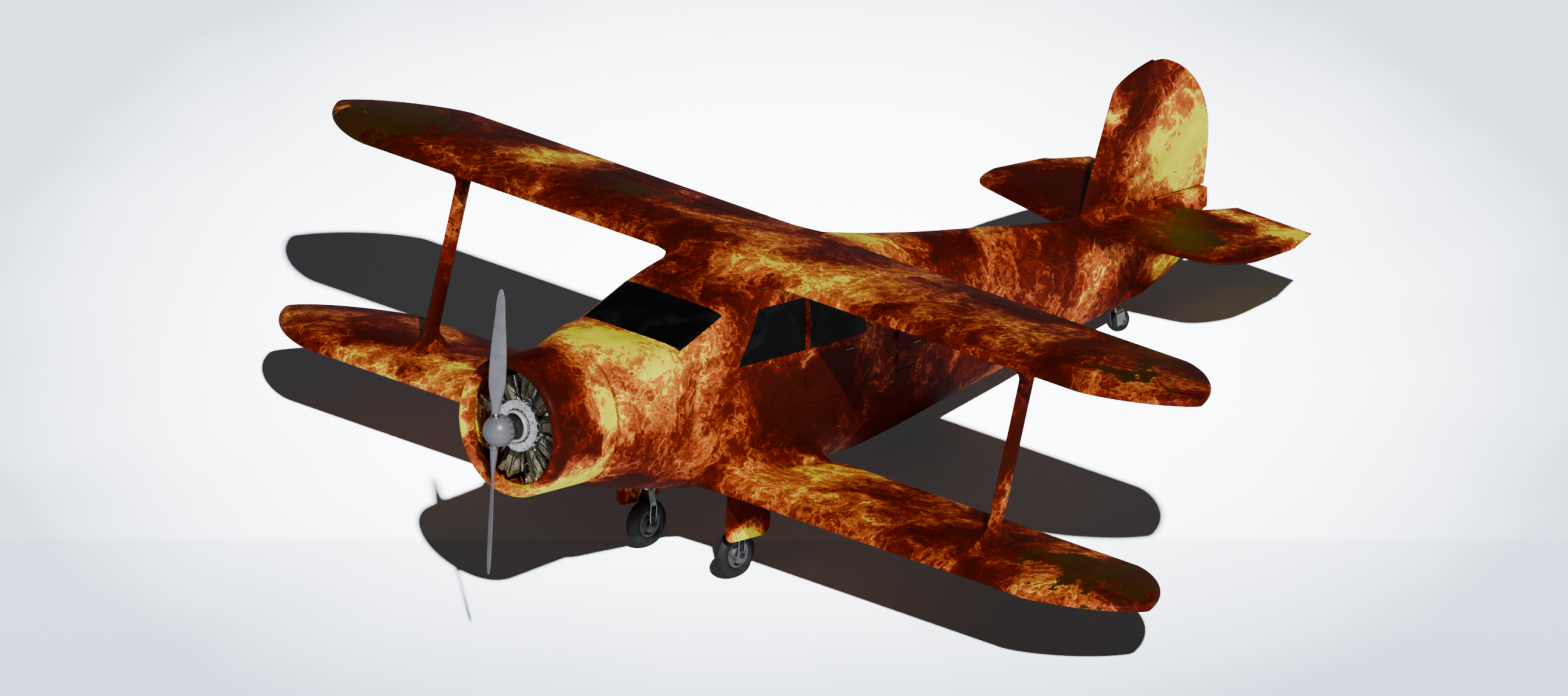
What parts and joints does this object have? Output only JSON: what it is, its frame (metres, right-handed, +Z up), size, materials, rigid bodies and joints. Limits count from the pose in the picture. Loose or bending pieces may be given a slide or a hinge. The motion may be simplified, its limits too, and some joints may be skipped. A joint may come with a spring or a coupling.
{
  "type": "cabin biplane",
  "caption": "Cabin biplane with a cowled radial engine, I-struts, tail wheel and flame-patterned paint; doors, flaps, propeller and control surfaces move.",
  "frame": {"origin": "middle of the bounding box at ground level, under the parked aircraft", "axes": "+X to the left wing tip, -Y towards the nose, +Z up; the aircraft stands nose up on its three wheels"},
  "size_m": [9.733, 8.3366, 3.1572],
  "materials": {
    "paint": "gloss flame paint over fabric and metal skins",
    "cowl_paint": "gloss flame paint",
    "glass": "dark tinted glass",
    "steel": "bright plated steel",
    "propeller": "satin grey paint",
    "engine": "bronze toned finned cylinders and a bright crankcase",
    "tyre": "black rubber",
    "hub": "dark satin",
    "leather": "dark brown leather",
    "panel": "black crackle finish"
  },
  "bodies": {
    "airframe": {"fuselage": "paint", "cowl": "cowl_paint", "engine": "engine", "windscreen": "glass", "side_window_left": "glass", "side_window_right": "glass", "instrument_panel": "panel", "seat_front_left": "leather", "seat_front_right": "leather", "seat_rear": "leather", "control_column": "steel", "upper_wing_left": "paint", "upper_wing_right": "paint", "lower_wing_left": "paint", "lower_wing_right": "paint", "strut_left": "paint", "strut_right": "paint", "stabiliser_left": "paint", "stabiliser_right": "paint", "fin": "paint", "gear_leg_left": "steel", "gear_leg_right": "steel", "gear_door_left": "paint", "gear_door_right": "paint"},
    "propeller": {"prop_hub": "propeller", "blade_upper": "propeller", "blade_lower": "propeller"},
    "wheel_left": {"tyre_left": "tyre", "hub_left": "hub"},
    "wheel_right": {"tyre_right": "tyre", "hub_right": "hub"},
    "tail_swivel": {"tail_fork": "steel"},
    "tail_wheel": {"tail_tyre": "tyre", "tail_hub": "hub"},
    "rudder": {"rudder": "paint"},
    "elevator_left": {"elevator_left": "paint"},
    "elevator_right": {"elevator_right": "paint"},
    "aileron_left": {"aileron_left": "paint"},
    "aileron_right": {"aileron_right": "paint"},
    "flap_left": {"flap_left": "paint"},
    "flap_right": {"flap_right": "paint"},
    "cabin_door": {"cabin_door": "paint", "door_window": "glass"},
    "baggage_door": {"baggage_door": "paint"}
  },
  "joints": [
    {"name": "propeller_spin", "type": "hinge", "parent": "airframe", "child": "propeller", "pos_m": [0, -4.00427, 1.99875], "axis": [0, 0.9795, -0.2014], "continuous": true},
    {"name": "wheel_left_spin", "type": "hinge", "parent": "airframe", "child": "wheel_left", "pos_m": [0.5, -1.93409, 0.2], "axis": [1, 0, 0], "continuous": true},
    {"name": "wheel_right_spin", "type": "hinge", "parent": "airframe", "child": "wheel_right", "pos_m": [-0.5, -1.93409, 0.2], "axis": [1, 0, 0], "continuous": true},
    {"name": "tail_swivel_turn", "type": "hinge", "parent": "airframe", "child": "tail_swivel", "pos_m": [0, 2.93779, 0.0865], "axis": [0, 0, 1], "range_deg": [-60, 60]},
    {"name": "tail_wheel_spin", "type": "hinge", "parent": "tail_swivel", "child": "tail_wheel", "pos_m": [0, 2.98279, 0.0865], "axis": [1, 0, 0], "continuous": true},
    {"name": "rudder_turn", "type": "hinge", "parent": "airframe", "child": "rudder", "pos_m": [0, 3.44579, 0.99283], "axis": [0, 0.2014, 0.9795], "range_deg": [-28, 28]},
    {"name": "elevator_left_turn", "type": "hinge", "parent": "airframe", "child": "elevator_left", "pos_m": [0.84, 3.65195, 0.85345], "axis": [1, 0, 0], "range_deg": [-20, 25]},
    {"name": "elevator_right_turn", "type": "hinge", "parent": "airframe", "child": "elevator_right", "pos_m": [-0.84, 3.65195, 0.85345], "axis": [1, 0, 0], "range_deg": [-20, 25]},
    {"name": "aileron_left_turn", "type": "hinge", "parent": "airframe", "child": "aileron_left", "pos_m": [2.1025, -0.37311, 2.19125], "axis": [1, 0, 0], "range_deg": [-20, 20]},
    {"name": "aileron_right_turn", "type": "hinge", "parent": "airframe", "child": "aileron_right", "pos_m": [-2.1025, -0.37311, 2.19125], "axis": [1, 0, 0], "range_deg": [-20, 20]},
    {"name": "flap_left_turn", "type": "hinge", "parent": "airframe", "child": "flap_left", "pos_m": [2.1025, -1.13058, 0.68192], "axis": [1, 0, 0], "range_deg": [-40, 0]},
    {"name": "flap_right_turn", "type": "hinge", "parent": "airframe", "child": "flap_right", "pos_m": [-2.1025, -1.13058, 0.68192], "axis": [1, 0, 0], "range_deg": [-40, 0]},
    {"name": "cabin_door_swing", "type": "hinge", "parent": "airframe", "child": "cabin_door", "pos_m": [0.64633, -1.0231, 1.66403], "axis": [0, 0.2014, 0.9795], "range_deg": [-75, 0]},
    {"name": "baggage_door_swing", "type": "hinge", "parent": "airframe", "child": "baggage_door", "pos_m": [0.55415, 0.02814, 1.21565], "axis": [0, 0.2014, 0.9795], "range_deg": [-80, 0]}
  ],
  "couplings": [
    {"joint": "elevator_right_turn", "follows": "elevator_left_turn", "ratio": 1},
    {"joint": "aileron_right_turn", "follows": "aileron_left_turn", "ratio": -1},
    {"joint": "flap_right_turn", "follows": "flap_left_turn", "ratio": 1}
  ]
}
